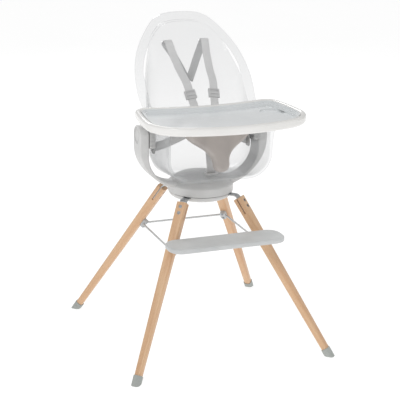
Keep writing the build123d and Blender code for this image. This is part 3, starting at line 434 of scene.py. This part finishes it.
def shoulder_route(way):
    """From the back of a slot, over its edge, down through the slider to the tongue."""
    slot = Vector((way * SLOT_X, SLOT_Y, SLOT_Z))
    slider = middle("strap_slider_left" if way > 0 else "strap_slider_right")
    heading = Vector((-0.1233 * way, -0.5637, -0.8167))
    bend = slider - heading * BEND_LENGTH
    tongue = buckle_at + Vector((way * TONGUE_X, 0, 0)) + BUCKLE_UP * BUCKLE_REACH
    return smooth_route([
        slot - BACK_FACING * 0.004,
        slot + BACK_FACING * 0.007,
        slot + Vector((-way * 0.001, -SLOT_DEPTH, -0.001)),
        slot.lerp(bend, 0.30) + BACK_FACING * SAG,
        slot.lerp(bend, 0.65) - BACK_FACING * SAG / 2,
        bend - heading * 0.012,
        slider,
        slider.lerp(tongue, 0.5),
        tongue,
    ], 5)


def back_route(way, low):
    """From a slot down behind the backrest to the join, and on under the other strap."""
    start = Vector((way * SLOT_X, SLOT_Y, SLOT_Z)) - BACK_FACING * 0.005
    join = Vector((way * JOIN_X, low.y + 0.003, low.z + 0.004))
    lap = join + (join - start) * JOIN_LAP - BACK_FACING * (0.0011 + 0.0011 * way)
    return smooth_route([start, start - BACK_FACING * 0.003 + Vector((0, 0.001, -0.006)),
                         start.lerp(join, 0.5) + Vector((0, 0.001, 0)), join, lap], 6)


def waist_route(way):
    """From the anchor on the side wall to the buckle."""
    anchor = Vector((way * ANCHOR_X, 0, ANCHOR_Z))
    end = buckle_at + Vector((way * BUCKLE_REACH, 0, 0))
    return smooth_route([anchor, anchor.lerp(end, 0.3) + Vector((0, -SAG, -0.003)),
                         anchor.lerp(end, 0.7) + Vector((0, -SAG, -SAG)), end], 7)


def crotch_route(low):
    """From the seat floor up to the buckle."""
    foot = Vector((0, FOOT_Y, low.z + 0.002))
    top = buckle_at - BUCKLE_UP * CROTCH_DROP
    return smooth_route([foot, foot.lerp(top, 0.33) + Vector((0, -SAG, 0)),
                         foot.lerp(top, 0.7) + Vector((0, -SAG / 2, 0)), top], 7)


for name, way in SIDES.items():
    turned = Vector((0.9914, -0.034 * way, -0.1262 * way))
    lay_webbing(f"shoulder_webbing_{name}", shoulder_route(way),
                lambda t, turned=turned: ACROSS.lerp(turned, min(1, 3 * t)),
                f"shoulder_strap_{name}")
    lay_webbing(f"back_webbing_{name}", back_route(way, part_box(f"back_strap_{name}")[0]),
                lambda t: ACROSS, f"back_strap_{name}", BACK_STRAP_WIDTH)
    lay_webbing(f"waist_webbing_{name}", waist_route(way),
                lambda t: BUCKLE_UP, f"waist_strap_{name}")
lay_webbing("crotch_webbing", crotch_route(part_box("crotch_strap")[0]),
            lambda t: ACROSS, "crotch_strap")

# Floor, light and camera -------------------------------------------------------------
floor = bpy.data.meshes.new("floor")
bm = bmesh.new()
bmesh.ops.create_grid(bm, x_segments=1, y_segments=1, size=12)
bm.to_mesh(floor)
bm.free()
ground = bpy.data.objects.new("floor", floor)
bpy.context.scene.collection.objects.link(ground)
paper = Finish("floor_paper", Roughness=0.9, Emission_Color=(1, 1, 1, 1), Emission_Strength=0.76)
paper.wear(Base_Color=paper.mix(paper.noise(paper.place(), 3), tone("ABABAB"), tone("A6A6A6")))
floor.materials.append(paper.material)

scene = bpy.context.scene
scene.view_settings.view_transform = "Standard"
world = bpy.data.worlds.new("studio")
world.use_nodes = True
sky = world.node_tree.nodes["Background"]
sky.inputs["Color"].default_value = (1, 1, 1, 1)
seen = world.node_tree.nodes.new("ShaderNodeLightPath").outputs["Is Camera Ray"]
strength = world.node_tree.nodes.new("ShaderNodeMapRange")
strength.inputs["To Min"].default_value = 0.50
strength.inputs["To Max"].default_value = 1.0
world.node_tree.links.new(seen, strength.inputs["Value"])
world.node_tree.links.new(strength.outputs["Result"], sky.inputs["Strength"])
scene.world = world


def softbox(name, place, aim, size, power):
    """Square studio light that points at a spot."""
    lamp = bpy.data.lights.new(name, "AREA")
    lamp.size = size
    lamp.energy = power
    box = bpy.data.objects.new(name, lamp)
    box.location = place
    box.rotation_mode = "QUATERNION"
    box.rotation_quaternion = (Vector(place) - Vector(aim)).to_track_quat("Z", "Y")
    scene.collection.objects.link(box)


softbox("key_light", (-2.2, -2.0, 3.4), (0, 0, 0.5), 1.6, 42)
softbox("fill_light", (2.8, -1.6, 2.4), (0, 0, 0.5), 2.0, 14)
softbox("rim_light", (0.5, 3.0, 2.6), (0, 0, 0.7), 1.4, 30)

AZIMUTH, ELEVATION, ROLL = radians(-21.5), radians(17.54), radians(0.99)
DISTANCE, OFFSET_RIGHT, OFFSET_UP = 4.0545, 0.00666, 0.40064
FOCAL_SHARE = 1321.05 / 400          # focal length over the width of the picture
back = Vector((sin(AZIMUTH) * cos(ELEVATION), -cos(AZIMUTH) * cos(ELEVATION), sin(ELEVATION)))
level = Vector((cos(AZIMUTH), sin(AZIMUTH), 0))
right = level * cos(ROLL) + back.cross(level) * sin(ROLL)
up = back.cross(right)
lens = bpy.data.cameras.new("camera")
lens.sensor_width = 36
lens.lens = lens.sensor_width * FOCAL_SHARE
camera = bpy.data.objects.new("camera", lens)
camera.matrix_world = (
    Matrix.Translation(back * DISTANCE + right * OFFSET_RIGHT + up * OFFSET_UP)
    @ Matrix((right, up, back)).transposed().to_4x4())
scene.collection.objects.link(camera)
scene.camera = camera
